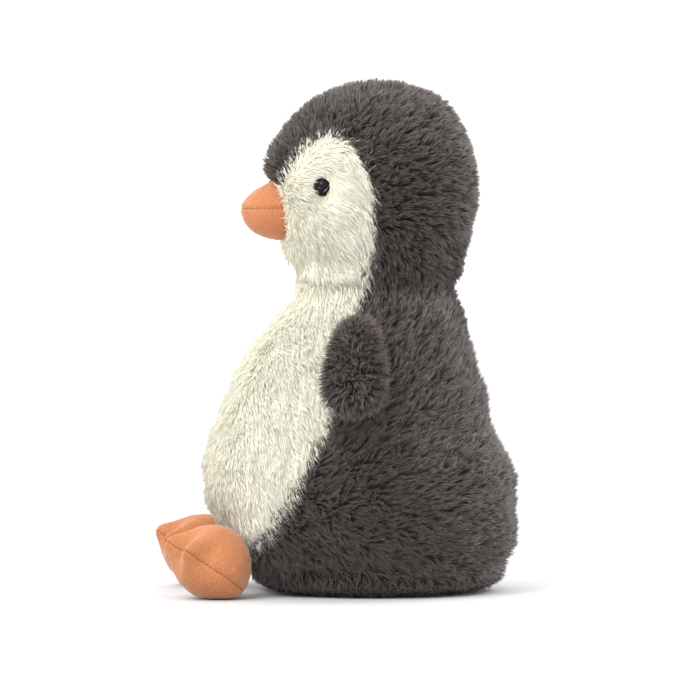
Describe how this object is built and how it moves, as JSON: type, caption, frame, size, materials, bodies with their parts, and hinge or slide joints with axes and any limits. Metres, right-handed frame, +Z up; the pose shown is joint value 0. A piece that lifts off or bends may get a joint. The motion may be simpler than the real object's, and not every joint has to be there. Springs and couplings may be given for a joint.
{
  "type": "plush penguin",
  "caption": "Sitting stuffed toy penguin with fur panels, a felt beak and felt feet, a nodding head and flapping flippers.",
  "frame": {"origin": "on the floor under the middle of the toy's outer box", "axes": "+Z up, the penguin faces -Y, +X is its left side"},
  "size_m": [0.217, 0.16, 0.2287],
  "materials": {
    "dark_fur": "dark grey-brown plush fur",
    "pale_fur": "cream plush fur",
    "orange_felt": "orange suede-like felt",
    "filling": "loose polyester filling",
    "black_plastic": "polished black",
    "washer_plastic": "moulded white",
    "pouch_cloth": "plain woven lining",
    "pellets": "small round pellets"
  },
  "bodies": {
    "torso": {"base_panel": "dark_fur", "belly_panel": "pale_fur", "body_side_left": "dark_fur", "body_side_right": "dark_fur", "body_stuffing": "filling", "bean_pouch": "pouch_cloth", "bean_pellets": "pellets"},
    "head": {"head_side_left": "dark_fur", "head_side_right": "dark_fur", "face_panel": "pale_fur", "head_stuffing": "filling", "beak_upper": "orange_felt", "beak_lower": "orange_felt", "beak_stuffing": "filling", "eye_left": "black_plastic", "eye_right": "black_plastic", "eye_washer_left": "washer_plastic", "eye_washer_right": "washer_plastic"},
    "flipper_left": {"flipper_left_outer": "dark_fur", "flipper_left_inner": "dark_fur", "flipper_left_stuffing": "filling"},
    "foot_left": {"foot_left_upper": "orange_felt", "foot_left_sole": "orange_felt", "foot_left_stuffing": "filling"},
    "flipper_right": {"flipper_right_outer": "dark_fur", "flipper_right_inner": "dark_fur", "flipper_right_stuffing": "filling"},
    "foot_right": {"foot_right_upper": "orange_felt", "foot_right_sole": "orange_felt", "foot_right_stuffing": "filling"}
  },
  "joints": [
    {"name": "head_nod", "type": "hinge", "parent": "torso", "child": "head", "pos_m": [0, 0.015, 0.108], "axis": [1, 0, 0], "range_deg": [-10, 10], "stiffness_Nm_per_rad": 1.2},
    {"name": "flipper_left_flap", "type": "hinge", "parent": "torso", "child": "flipper_left", "pos_m": [0.0625, 0.0005, 0.1135], "axis": [-0.1736, -0.9848, 0], "range_deg": [-30, 55], "stiffness_Nm_per_rad": 0.2},
    {"name": "flipper_right_flap", "type": "hinge", "parent": "torso", "child": "flipper_right", "pos_m": [-0.0625, 0.0005, 0.1135], "axis": [-0.1736, 0.9848, 0], "range_deg": [-30, 55], "stiffness_Nm_per_rad": 0.2},
    {"name": "foot_left_fold", "type": "hinge", "parent": "torso", "child": "foot_left", "pos_m": [0.038, -0.047, 0.027], "axis": [-0.9781, -0.2079, 0], "range_deg": [0, 25], "stiffness_Nm_per_rad": 0.3},
    {"name": "foot_right_fold", "type": "hinge", "parent": "torso", "child": "foot_right", "pos_m": [-0.038, -0.047, 0.027], "axis": [-0.9781, 0.2079, 0], "range_deg": [0, 25], "stiffness_Nm_per_rad": 0.3}
  ]
}
